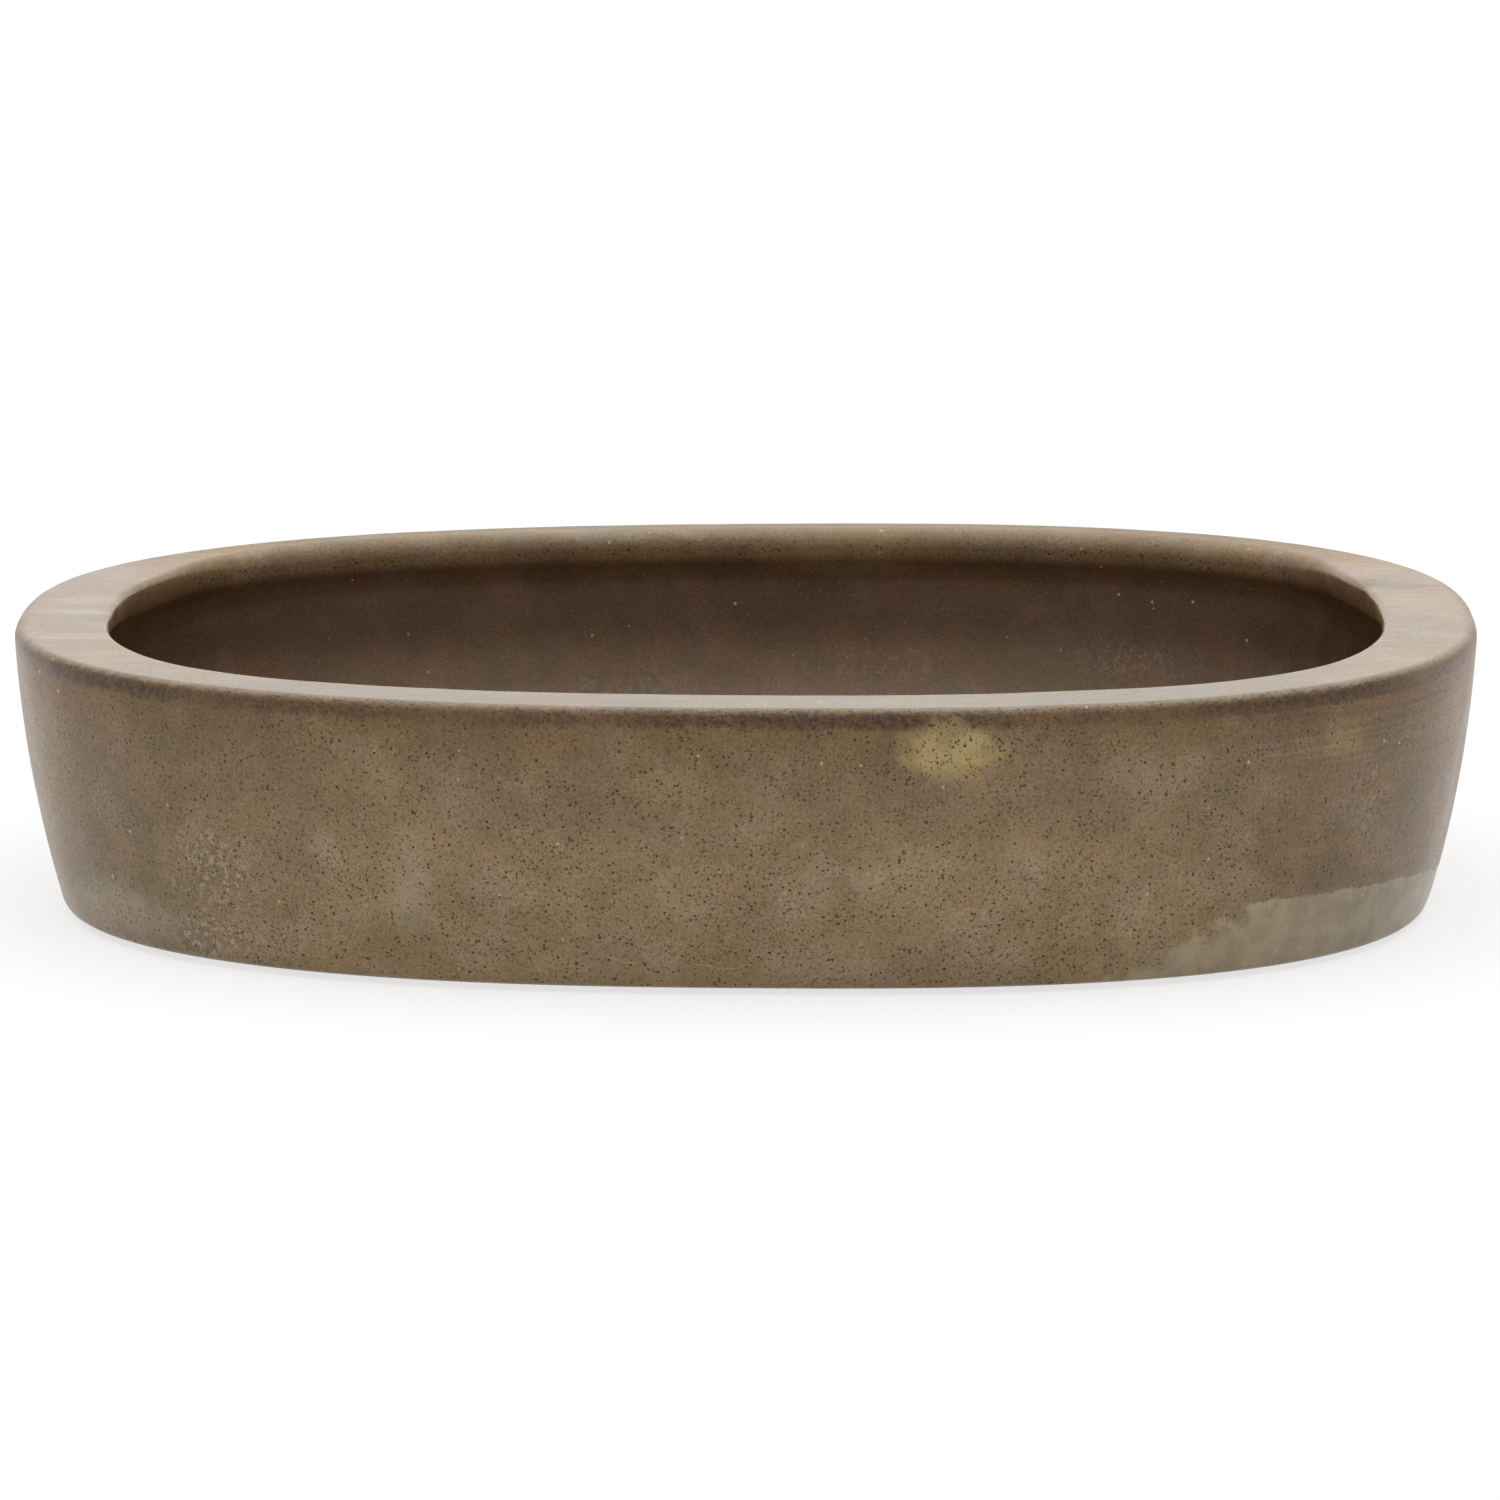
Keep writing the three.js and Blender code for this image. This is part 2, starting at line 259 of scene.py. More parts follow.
class StudioSettings(bpy.types.PropertyGroup):
    """Camera, lamps and floor."""

    azimuth: angle_property("Azimuth", "Camera's direction, from -Y towards +X", 0.803)
    elevation: angle_property("Elevation", "Camera's height above the horizon", 10.1019)
    roll: angle_property("Roll", "Tilt of the picture, anticlockwise", 0.1528)
    distance: length_property("Distance", "From the camera to the middle of the bowl", 4.7265)
    lens: number_property("Lens", "Focal length in mm on a 36 mm sensor", 216.291)
    shift_x: number_property("Shift X", "Sideways framing", 0.002473)
    shift_y: number_property("Shift Y", "Upward framing", -0.002593)
    lamp_energy: number_property("Lamp", "Strength of the overhead lamp", 2.36)
    lamp_angle: angle_property("Lamp spread", "Apparent width of the overhead lamp", 90)
    lamp_tilt: angle_property("Lamp tilt", "Lean of the lamp from overhead towards the back", 4)
    dome: number_property("Dome", "Light that comes evenly from all round", 0.30)
    floor_size: length_property("Floor size", "Side of the square floor", 16)


# ---------------------------------------------------------------------------------------------------
# Shapes as arrays


def smooth_step(low, high, value):
    """0 up to low, 1 from high on, and 3t^2 - 2t^3 between them, also where low is above high."""
    t = np.clip((value - low) / (high - low), 0, 1)
    return t * t * (3 - 2 * t)


def plan_points(angle, inset, bowl):
    """Point of the plan: x = a sgn(cos t)|cos t|^(2/n) and y = b sgn(sin t)|sin t|^(2/n), moved inwards
    along the curve's normal by the inset, and then y times 1 + blunt end times x / a."""
    half_length, half_width = bowl.length / 2, bowl.width / 2
    on_curve = 2 / bowl.plan_exponent
    on_normal = 2 - on_curve
    cos, sin = np.cos(angle), np.sin(angle)
    normal_x = np.sign(cos) * np.abs(cos) ** on_normal / half_length
    normal_y = np.sign(sin) * np.abs(sin) ** on_normal / half_width
    reach = np.hypot(normal_x, normal_y)
    x = half_length * np.sign(cos) * np.abs(cos) ** on_curve - inset * normal_x / reach
    y = half_width * np.sign(sin) * np.abs(sin) ** on_curve - inset * normal_y / reach
    return x, y * (1 + bowl.blunt_end * x / half_length)


def even_angles(bowl):
    """Parameters of the plan whose points lie evenly along it, by turning round its running length."""
    fine = np.linspace(0, FULL_TURN, 20001)
    x, y = plan_points(fine, 0.0, bowl)
    run = np.concatenate([[0], np.cumsum(np.hypot(np.diff(x), np.diff(y)))])
    return np.interp(np.arange(bowl.columns) / bowl.columns * run[-1], run, fine)


def arc(centre, radius, start, end, steps):
    """steps points of (c0 + r cos t, c1 + r sin t) for t from start up to, but without, end."""
    t = start + (end - start) * np.arange(steps) / steps
    return np.stack([centre[0] + radius * np.cos(t), centre[1] + radius * np.sin(t)], -1)


def line(start, end, steps):
    """steps points on the straight line from start up to, but without, end."""
    share = (np.arange(steps) / steps)[:, None]
    return np.asarray(start) * (1 - share) + np.asarray(end) * share


def touching_arc(wall_centre, wall_radius, radius, z):
    """A rounding that touches the wall's arc from inside and has its centre at height z: its centre lies
    on a circle of the wall's radius less its own. Gives that centre and the angle of the contact."""
    drop = wall_centre[1] - z
    inset = wall_centre[0] - math.sqrt((wall_radius - radius) ** 2 - drop**2)
    return (inset, z), math.atan2(z - wall_centre[1], inset - wall_centre[0])


def reverse_curve(nose, nose_radius, wall_centre, wall_radius, radius):
    """A hollow rounding between a nose and the inside of the wall's arc, touching both: its centre is
    where the circle of both radii about the nose's centre meets the circle of the wall's radius less
    its own about the wall's centre. Gives the centre, how far the nose turns and the wall's contact."""
    aside = (wall_centre[0] - nose[0], wall_centre[1] - nose[1])
    far, near, away = wall_radius - radius, nose_radius + radius, math.hypot(*aside)
    corner = math.acos((away**2 + near**2 - far**2) / (2 * away * near))
    turn = corner - math.atan2(aside[1], aside[0])
    centre = (nose[0] + near * math.cos(turn), nose[1] - near * math.sin(turn))
    return centre, turn, math.atan2(centre[1] - wall_centre[1], centre[0] - wall_centre[0])


def bowl_section(bowl, rim_width, lip_edge):
    """The section from the base's edge up the wall, over the rim, round the lip and down to the floor,
    as (inset, height) arcs that meet without a break, the floor's edge, and the row at which the rim's
    top begins."""
    wall_centre = (
        bowl.wall_radius * math.cos(bowl.wall_draft),
        bowl.rim_z + bowl.wall_radius * math.sin(bowl.wall_draft),
    )
    inner = bowl.wall_radius - bowl.wall_thickness
    floor_z = bowl.base_z + bowl.floor_thickness
    base, base_contact = touching_arc(
        wall_centre, bowl.wall_radius, bowl.base_edge, bowl.base_z + bowl.base_edge
    )
    rim, rim_contact = touching_arc(
        wall_centre, bowl.wall_radius, bowl.rim_edge, bowl.rim_z - bowl.rim_edge
    )
    edge = (rim_width - lip_edge, bowl.rim_z - lip_edge)
    nose = (rim_width - bowl.lip_nose, edge[1])
    fillet, turn_under, fillet_contact = reverse_curve(
        nose, bowl.lip_nose, wall_centre, inner, bowl.lip_fillet
    )
    floor, floor_contact = touching_arc(wall_centre, inner, bowl.floor_curve, floor_z + bowl.floor_curve)
    blocks = [
        arc(base, bowl.base_edge, -QUARTER_TURN, base_contact, 6),
        arc(wall_centre, bowl.wall_radius, base_contact, rim_contact, 48),
        arc(rim, bowl.rim_edge, rim_contact, QUARTER_TURN - FULL_TURN, 8),
        line((rim[0], bowl.rim_z), (edge[0], bowl.rim_z), 16),
        arc(edge, lip_edge, QUARTER_TURN, 0, 8),
        arc(nose, bowl.lip_nose, 0, -turn_under, 10),
        arc(fillet, bowl.lip_fillet, math.pi - turn_under, fillet_contact + FULL_TURN, 9),
        arc(wall_centre, inner, fillet_contact, floor_contact, 12),
        arc(floor, bowl.floor_curve, floor_contact, -QUARTER_TURN, 18),
    ]
    return np.concatenate(blocks), (floor[0], floor_z), sum(len(block) for block in blocks[:3])


def rounded_path(corners, radii, steps=4):
    """A path through corners with each one rounded: the arc of the given radius that touches both legs,
    worked out from the half angle between them. Radius 0 keeps the corner sharp."""
    corners = np.asarray(corners, float)
    points = [corners[:1]]
    for before, corner, after, radius in zip(corners, corners[1:], corners[2:], radii[1:-1]):
        if radius == 0:
            points.append(corner[None])
            continue
        back = (before - corner) / np.linalg.norm(before - corner)
        on = (after - corner) / np.linalg.norm(after - corner)
        half = math.acos(np.clip(back @ on, -1, 1)) / 2
        middle = (back + on) / np.linalg.norm(back + on)
        centre = corner + middle * radius / math.sin(half)
        share = np.linspace(-1, 1, steps + 1)[:, None] * (QUARTER_TURN - half)
        across = (on - back) / np.linalg.norm(on - back)
        points.append(centre + radius * (np.sin(share) * across - np.cos(share) * middle))
    return np.concatenate([*points, corners[-1:]])


def noise_field(points, cell, seed):
    """Smooth random field from -1 to 1: seeded random numbers on a cubic lattice of that cell size,
    blended between a cell's eight corners with the weights 3t^2 - 2t^3."""
    side = 32
    lattice = np.random.default_rng(seed).uniform(-1, 1, (side, side, side))
    scaled = points / cell
    corner = np.floor(scaled).astype(int)
    t = scaled - corner
    t = t * t * (3 - 2 * t)
    total = np.zeros(points.shape[:-1])
    for offset in np.ndindex(2, 2, 2):
        at = (corner + offset) % side
        weight = np.prod(np.where(offset, t, 1 - t), -1)
        total += weight * lattice[at[..., 0], at[..., 1], at[..., 2]]
    return total


def grid_normals(points):
    """Unit normals of a grid that closes both ways: the cross product of the central differences."""
    along = np.roll(points, -1, 1) - np.roll(points, 1, 1)
    across = np.roll(points, -1, 0) - np.roll(points, 1, 0)
    normal = np.cross(along, across)
    return normal / np.maximum(np.linalg.norm(normal, axis=-1, keepdims=True), 1e-12)


# ---------------------------------------------------------------------------------------------------
# Meshes


def put_in_scene(mesh, name):
    """Smooth-shades the mesh and links an object for it at the origin."""
    mesh.update()
    mesh.validate()
    mesh.shade_smooth()
    piece = bpy.data.objects.new(name, mesh)
    bpy.context.scene.collection.objects.link(piece)
    return piece


def fill_mesh(name, vertices, loops, sizes):
    """A mesh from a vertex array, the corners' vertex numbers one after another, and the faces' sizes."""
    mesh = bpy.data.meshes.new(name)
    mesh.vertices.add(len(vertices))
    mesh.vertices.foreach_set("co", vertices.astype(np.float32).ravel())
    mesh.loops.add(len(loops))
    mesh.loops.foreach_set("vertex_index", loops.astype(np.int32))
    mesh.polygons.add(len(sizes))
    starts = np.concatenate([[0], np.cumsum(sizes)[:-1]])
    mesh.polygons.foreach_set("loop_start", starts.astype(np.int32))
    return mesh


def grid_quads(rows, columns, close_rows):
    """Corner numbers of a grid's quads, four a row. The columns close on themselves, and the rows do
    too if close_rows is true."""
    row, column = np.meshgrid(
        np.arange(rows if close_rows else rows - 1), np.arange(columns), indexing="ij"
    )
    above, beside = (row + 1) % rows, (column + 1) % columns
    quads = [row * columns + column, row * columns + beside, above * columns + beside,
             above * columns + column]
    return np.stack(quads, -1).reshape(-1, 4)


def closed_grid_mesh(name, points):
    """Mesh of a grid of points that closes on itself both ways."""
    quads = grid_quads(points.shape[0], points.shape[1], close_rows=True)
    return fill_mesh(name, points.reshape(-1, 3), quads.ravel(), np.full(len(quads), 4))


def turned_mesh(name, profile, columns, centre=(0, 0)):
    """A closed turned shape: the (radius, height) profile from the axis back to the axis, turned to
    (x + r cos t, y + r sin t, h), with one vertex and a fan of triangles at each pole."""
    t = FULL_TURN * np.arange(columns) / columns
    radius, height = profile[1:-1, 0][:, None], profile[1:-1, 1][:, None]
    rings = np.stack(
        [centre[0] + radius * np.cos(t), centre[1] + radius * np.sin(t), height + 0 * t], -1
    )
    poles = np.array([[*centre, profile[0, 1]], [*centre, profile[-1, 1]]])
    vertices = np.concatenate([rings.reshape(-1, 3), poles])
    first_pole, last_pole = len(vertices) - 2, len(vertices) - 1
    step = np.arange(columns)
    beside = (step + 1) % columns
    last = (len(rings) - 1) * columns
    first_fan = np.stack([np.full(columns, first_pole), beside, step], -1)
    last_fan = np.stack([last + step, last + beside, np.full(columns, last_pole)], -1)
    quads = grid_quads(len(rings), columns, close_rows=False)
    loops = np.concatenate([quads.ravel(), first_fan.ravel(), last_fan.ravel()])
    return fill_mesh(name, vertices, loops, np.repeat([4, 3], [len(quads), 2 * columns]))


# ---------------------------------------------------------------------------------------------------
# Shader nodes


class Shader:
    """Adds nodes to a material's tree. Values may be numbers, tuples or other nodes' sockets."""

    def __init__(self, material):
        material.use_nodes = True
        self.tree = material.node_tree
        self.tree.nodes.clear()

    def node(self, kind, inputs=None, **settings):
        made = self.tree.nodes.new("ShaderNode" + kind)
        for key, value in settings.items():
            setattr(made, key, value)
        for key, value in (inputs or {}).items():
            if isinstance(value, bpy.types.NodeSocket):
                self.tree.links.new(value, made.inputs[key])
            else:
                made.inputs[key].default_value = value
        return made

    def math(self, operation, a, b=0.0, clamp=False):
        return self.node("Math", {0: a, 1: b}, operation=operation, use_clamp=clamp).outputs[0]

    def vector(self, operation, a, b=(0, 0, 0)):
        return self.node("VectorMath", {0: a, 1: b}, operation=operation).outputs["Vector"]

    def scaled(self, a, factor):
        return self.node("VectorMath", {0: a, "Scale": factor}, operation="SCALE").outputs["Vector"]

    def length(self, a):
        return self.node("VectorMath", {0: a}, operation="LENGTH").outputs["Value"]

    def ramp(self, value, low, high, bottom=0.0, top=1.0):
        """Smooth step from bottom to top as value goes from low to high."""
        inputs = {"Value": value, "From Min": low, "From Max": high, "To Min": bottom, "To Max": top}
        return self.node("MapRange", inputs, interpolation_type="SMOOTHSTEP").outputs[0]

    def between(self, value, rise_start, rise_end, fall_start, fall_end):
        """1 on a stretch of value, with soft ends."""
        rise = self.ramp(value, rise_start, rise_end)
        return self.math("MULTIPLY", rise, self.ramp(value, fall_start, fall_end, 1.0, 0.0))

    def mix(self, factor, a, b, blend="MIX"):
        colours = [c if isinstance(c, bpy.types.NodeSocket) else (*c[:3], 1) for c in (a, b)]
        inputs = {0: factor, 6: colours[0], 7: colours[1]}
        made = self.node("Mix", inputs, data_type="RGBA", blend_type=blend, clamp_factor=True)
        return made.outputs[2]

    def noise(self, place, cell, detail=2.0, roughness=0.5, output="Fac"):
        inputs = {"Vector": place, "Scale": 1 / cell, "Detail": detail, "Roughness": roughness}
        return self.node("TexNoise", inputs).outputs[output]

    def swing(self, place, cell, detail, low, high, roughness=0.5):
        """Noise stretched to run from low to high."""
        return self.ramp(self.noise(place, cell, detail, roughness), 0.32, 0.68, low, high)

    def wander(self, place, cell, detail, reach):
        """The place moved by up to half of the reach each way by noise of its own."""
        away = self.vector("SUBTRACT", self.noise(place, cell, detail, output="Color"), (0.5, 0.5, 0.5))
        return self.vector("ADD", place, self.scaled(away, reach))

    def polynomial(self, value, factors):
        """The sum of factors[k] times value^k."""
        total = factors[-1]
        for factor in reversed(factors[:-1]):
            total = self.math("ADD", self.math("MULTIPLY", total, value), factor)
        return total

    def times(self, *values):
        """The product of all the values."""
        total = values[0]
        for value in values[1:]:
            total = self.math("MULTIPLY", total, value)
        return total

    def spots(self, place, cell, radius, share, soft=0.45):
        """Round spots: 3D cells of which a random share each hold a ball, whose size varies from half
        of the radius to all of it. Gives 1 inside a ball and 0 outside."""
        inputs = {"Vector": place, "Scale": 1 / cell}
        cells = self.node("TexVoronoi", inputs, voronoi_dimensions="3D", feature="F1")
        pick = self.node("SeparateColor", {0: cells.outputs["Color"]})
        size = self.ramp(pick.outputs[1], 0.0, 1.0, 0.5 * radius / cell, radius / cell)
        depth = self.math("DIVIDE", cells.outputs["Distance"], size)
        inside = self.ramp(depth, 1.0, 1.0 - soft)
        return self.times(inside, self.math("LESS_THAN", pick.outputs[0], share))

    def ellipsoid(self, place, centre, radii, soft):
        """1 inside an ellipsoid and 0 outside, over a soft edge that is a share of its radii."""
        away = self.vector("DIVIDE", self.vector("SUBTRACT", place, centre), radii)
        return self.ramp(self.length(away), 1 + soft, 1 - soft)


def new_material(name):
    material = bpy.data.materials.new(name)
    return material, Shader(material)


def clouded_ground(s, place, colours):
    """Two ground colours in clouds of some 60 mm, grey clouds of half that size over them, and mottles
    and grain in the lightness."""
    warped = s.wander(place, 0.020, 3, 0.024)
    ground = s.mix(s.swing(warped, 0.060, 3, 0.0, 1.0), colours.olive, colours.umber)
    elsewhere = s.vector("ADD", warped, (0.7, 0.3, 0.5))
    grey = s.ramp(s.noise(elsewhere, 0.034, 4), 0.46, 0.68)
    ground = s.mix(s.times(grey, ASH_STRENGTH), ground, colours.ash)
    mottle = s.times(s.swing(warped, 0.030, 5, 0.86, 1.14, 0.6), s.swing(place, 0.0015, 3, 0.78, 1.22, 0.7))
    return s.scaled(ground, mottle)


def skin_parts(s):
    """Where a point lies on the casting: its place, its run along the section, and masks that are 1 on
    the rim, inside, on the outer wall, on the smooth patch and towards the two ends."""
    place = s.node("TexCoord").outputs["Object"]
    flow = s.node("Attribute", attribute_name="flow").outputs["Vector"]
    run = s.node("SeparateXYZ", {0: flow}).outputs[2]
    x, y, height = s.node("SeparateXYZ", {0: place}).outputs
    on_wall = s.ramp(run, *WALL_FROM)
    across = s.math("ABSOLUTE", x)
    return SimpleNamespace(
        place=place, flow=flow, run=run, x=x, y=y, height=height, across=across, on_wall=on_wall,
        on_rim=s.between(run, *RIM_SPAN), inside=s.ramp(run, *INSIDE_FROM),
        patch=s.times(patch_mask(s, place), on_wall), ends=s.ramp(across, *ENDS_FROM),
    )


def patch_mask(s, place):
    """1 on the smooth patch low on the right: below its curved upper edge, fading to the left."""
    x, y, z = s.node("SeparateXYZ", {0: place}).outputs
    under = s.math("SUBTRACT", s.polynomial(y, PATCH_EDGE), z)
    frayed = s.math("ADD", under, s.swing(place, 0.006, 3, -0.0008, 0.0008))
    slanted = s.math("SUBTRACT", x, s.times(z, PATCH_SLANT))
    left = s.ramp(s.math("ADD", slanted, s.swing(place, 0.012, 4, -0.012, 0.012)), *PATCH_LEFT)
    return s.times(s.ramp(frayed, -0.0004, 0.0006), left, s.ramp(y, *PATCH_BACK))


def thread(s, place, start, end, height, wave):
    """A fine pale fibre that lies on the front wall from x = start to end at z = height + wave sin(kx)."""
    x, y, z = s.node("SeparateXYZ", {0: s.wander(place, 0.006, 2, 0.003)}).outputs
    level = s.math("ADD", s.times(s.math("SINE", s.times(x, FIBRE_WAVES)), wave), height)
    away = s.math("ABSOLUTE", s.math("SUBTRACT", z, level))
    along = s.between(x, start - 0.002, start + 0.002, end - 0.002, end + 0.002)
    return s.times(s.ramp(away, *FIBRE_EDGE), along, s.ramp(y, 0.0, -0.1))


def marked(s, place, ground, colours):
    """The ground with the marks that show on the casting, each an ellipsoid ragged by noise."""
    edges = {"broad": s.wander(place, 0.014, 4, 0.016), "fine": s.wander(place, 0.003, 3, 0.004)}
    textures = {
        "speckled": s.ramp(s.noise(place, 0.0035, 5, 0.7), 0.50, 0.62),
        "cloudy": s.swing(place, 0.010, 4, 0.55, 1.0),
        "even": 1.0,
    }
    for edge, centre, radii, soft, strength, texture, colour in MARKS:
        cover = s.times(s.ellipsoid(edges[edge], centre, radii, soft), strength, textures[texture])
        ground = s.mix(cover, ground, getattr(colours, colour))
    fibres = s.math("MAXIMUM", *(thread(s, place, *fibre) for fibre in FIBRES))
    return s.mix(s.times(fibres, 0.5), ground, colours.bloom)


def tinted(s, skin, ground, colours):
    """The ground with painted light and shade: lighter low on the wall as painted light from the floor,
    darker and browner towards the rim, partly painted shade, painted shade towards the ends and under the
    lip, painted highlight at the very ends, darker inside lower down, partly painted shade, under whitish
    salts, and greyer on the smooth patch."""
    # Painted light: the wall lighter low down, as if lit from the floor, but not at the ends; towards the
    # rim painted shade with a browner tone
    gain = s.times(s.ramp(skin.height, *PAINTED_LIGHT_HEIGHTS, 0.0, PAINTED_LIGHT_SHARE), s.math("SUBTRACT", 1.0, skin.ends))
    lower = s.scaled(ground, s.math("ADD", gain, 1.0))
    upper = s.mix(1.0, ground, colours.upper, "MULTIPLY")
    ground = s.mix(skin.on_wall, ground, s.mix(s.ramp(skin.height, *UPPER_TONE_AND_SHADE_HEIGHTS), lower, upper))
    # Painted shade: the inside darkest under the lip, redder as from light bounced round inside
    hollow = s.mix(1.0, ground, colours.inside, "MULTIPLY")
    # Partly painted shade: the inside lower down made darker by the depth tint, with whitish salts over it
    misty = s.mix(MIST, s.mix(1.0, ground, colours.depth, "MULTIPLY"), colours.bloom)
    ground = s.mix(skin.inside, ground, s.mix(s.ramp(skin.height, *PAINTED_LIP_SHADE_HEIGHTS), hollow, misty))
    # Painted shade towards the ends: stronger at the right end than the left, and none near the base
    painted_end_shade = s.mix(1.0, ground, colours.side, "MULTIPLY")
    side = s.times(
        skin.ends, s.math("MAXIMUM", skin.on_wall, skin.inside), s.ramp(skin.height, 0.015, 0.035),
        s.ramp(skin.x, -0.30, 0.10, 0.55, 1.0),
    )
    ground = s.mix(side, ground, painted_end_shade)
    # Painted highlight: the rim's ends and the wall's extreme ends lit up by the bright surroundings at
    # grazing angles
    on_painted_highlight_tips = s.times(skin.on_wall, s.ramp(skin.across, *PAINTED_HIGHLIGHT_FROM))
    painted_highlight_tips = s.math("MAXIMUM", on_painted_highlight_tips, s.times(skin.on_rim, skin.ends))
    ground = s.mix(painted_highlight_tips, ground, s.mix(1.0, ground, colours.painted_highlight_tips, "MULTIPLY"))
    right = s.scaled(colours.patched, 0.85)
    smooth = s.scaled(s.mix(s.ramp(skin.x, 0.24, 0.34), colours.patched, right),
                      s.swing(skin.place, 0.012, 4, 0.86, 1.12))
    return s.mix(s.times(skin.patch, 0.85), ground, smooth)


def band_mask(s, skin):
    """The dark band under the rim's edge: ragged, stronger in stretches and strongest at some places."""
    around = s.vector("MULTIPLY", skin.flow, (1, 1, 0))
    stretch = s.swing(around, 0.085, 2, 0.35, 0.75)
    for centre, reach in BAND_WORST:
        stretch = s.math("MAXIMUM", stretch, s.ellipsoid(around, centre, (reach, reach, 1), 0.5))
    ragged = s.math("ADD", skin.run, s.swing(skin.place, 0.005, 3, -0.0012, 0.0012))
    return s.times(s.between(ragged, *BAND_SPAN), stretch)


def streaked(s, skin, ground):
    """The ground with brushed streaks: along x on the rim, most at its ends, and level ones high on the
    right of the wall."""
    rim_streak = s.swing(s.vector("MULTIPLY", skin.place, RIM_STREAKS), 1.0, 4, 0.86, 1.14)
    wall_streak = s.swing(s.vector("MULTIPLY", skin.place, WALL_STREAKS), 1.0, 3, 0.84, 1.12)
    on_right = s.times(skin.on_wall, s.ramp(skin.x, 0.20, 0.30), s.ramp(skin.height, 0.090, 0.115))
    on_rim = s.times(skin.on_rim, s.ramp(skin.across, 0.22, 0.32, 0.3, 1.0))
    ground = s.mix(on_rim, ground, s.scaled(ground, rim_streak))
    return s.mix(on_right, ground, s.scaled(ground, wall_streak))


def pore_mask(s, skin, band):
    """Air pores of three kinds, small, large and the crowded ones of the band. The rim, the inside and
    the smooth patch have fewer."""
    ragged = s.wander(skin.place, 0.0010, 1, 0.0014)
    closed = s.math("MAXIMUM", s.times(skin.on_rim, 0.85), s.times(skin.patch, 0.75))
    closed = s.math("MAXIMUM", closed, s.times(skin.inside, 0.8))
    crowd = s.swing(skin.place, 0.045, 3, 0.45, 0.95)
    small = s.times(s.spots(ragged, 0.0016, 0.0007, crowd), 0.75)
    large = s.spots(ragged, 0.0027, 0.00095, crowd, 0.4)
    dense = s.times(s.spots(ragged, 0.0021, 0.0012, 0.9, 0.4), band)
    pores = s.math("MAXIMUM", s.math("MAXIMUM", small, large), dense)
    return s.times(pores, s.math("SUBTRACT", 1.0, closed))


def concrete_material(colours):
    """Trowelled concrete: clouded ground with painted light low on the wall, partly painted shade towards
    the rim, painted shade at the ends and inside, and painted highlight at the very ends, a stained band
    under the rim's edge, seen marks, brushed streaks, sand grains and air pores."""
    material, s = new_material("concrete")
    skin = skin_parts(s)
    ground = tinted(s, skin, clouded_ground(s, skin.place, colours), colours)
    band = band_mask(s, skin)
    blotchy = s.swing(skin.place, 0.0030, 4, 0.30, 1.0, 0.7)
    ground = s.mix(s.times(band, blotchy), ground, colours.stain)
    ground = streaked(s, skin, marked(s, skin.place, ground, colours))

    pores = pore_mask(s, skin, band)
    reddish = s.ramp(s.noise(skin.place, 0.004, 1), 0.55, 0.65)
    pore = s.mix(reddish, colours.pore, s.scaled(colours.rust, 0.35))
    ground = s.mix(s.times(pores, 0.95), ground, pore)
    fine_grains = s.times(s.spots(skin.place, 0.0036, 0.0006, 0.5), 0.28)
    coarse_grains = s.times(s.spots(skin.place, 0.0100, 0.0012, 0.3), 0.8)
    ground = s.mix(s.math("MAXIMUM", fine_grains, coarse_grains), ground, colours.grain)

    at_back = s.ramp(skin.y, 0.10, 0.25)
    polish = s.times(skin.on_rim, s.math("SUBTRACT", 1.0, at_back))
    roughness = s.math("SUBTRACT", s.swing(skin.place, 0.030, 3, 0.26, 0.34), s.times(polish, 0.12))
    roughness = s.math("ADD", roughness, s.times(skin.on_rim, at_back, 0.12))
    fleck = s.noise(skin.place, 0.0016, 3, 0.6)
    relief = s.math("SUBTRACT", s.times(fleck, 0.25), pores)
    bump = s.node("Bump", {"Strength": 0.5, "Distance": PORE_DEPTH, "Height": relief})
    surface = s.node("BsdfPrincipled", {
        "Base Color": ground, "Roughness": roughness, "Normal": bump.outputs[0], "IOR": CONCRETE_IOR,
    })
    s.node("OutputMaterial", {0: surface.outputs[0]})
    return material


def rubber_material(name, colour, dust):
    """Moulded rubber: fine grain, slightly worn sheen and dust that settles on what faces upwards."""
    material, s = new_material(name)
    place = s.node("TexCoord").outputs["Object"]
    up = s.node("SeparateXYZ", {0: s.node("NewGeometry").outputs["Normal"]}).outputs[2]
    lying = s.math("MULTIPLY", s.ramp(up, 0.4, 1.0), s.ramp(s.noise(place, 0.006, 4), 0.35, 0.75))
    shade = s.mix(s.ramp(s.noise(place, 0.004, 3), 0.3, 0.7), [0.7 * c for c in colour], colour)
    bump = s.node("Bump", {"Strength": 0.3, "Distance": 0.0001,
                           "Height": s.noise(place, 0.0006, 2)})
    surface = s.node("BsdfPrincipled", {
        "Base Color": s.mix(s.math("MULTIPLY", lying, 0.45), shade, dust),
        "Roughness": s.ramp(s.noise(place, 0.008, 3), 0.3, 0.7, 0.48, 0.68),
        "Normal": bump.outputs[0], "IOR": 1.52,
    })
    s.node("OutputMaterial", {0: surface.outputs[0]})
    return material


# ---------------------------------------------------------------------------------------------------
# Operators


class PLANTER_OT_bowl(bpy.types.Operator):
    """Builds the concrete casting round its closed section"""

    bl_idname = "planter.bowl"
    bl_label = "Concrete bowl"

    def execute(self, context):
        bowl = context.scene.planter_bowl
        points, flow = bowl_grid(bowl)
        mesh = closed_grid_mesh("bowl_shell", points)
        attribute = mesh.attributes.new("flow", "FLOAT_VECTOR", "POINT")
        attribute.data.foreach_set("vector", flow.astype(np.float32).ravel())
        piece = put_in_scene(mesh, "bowl_shell")
        piece.data.materials.append(concrete_material(context.scene.planter_concrete))
        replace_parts(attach(piece, "planter"), "concrete_bowl")
        return {"FINISHED"}


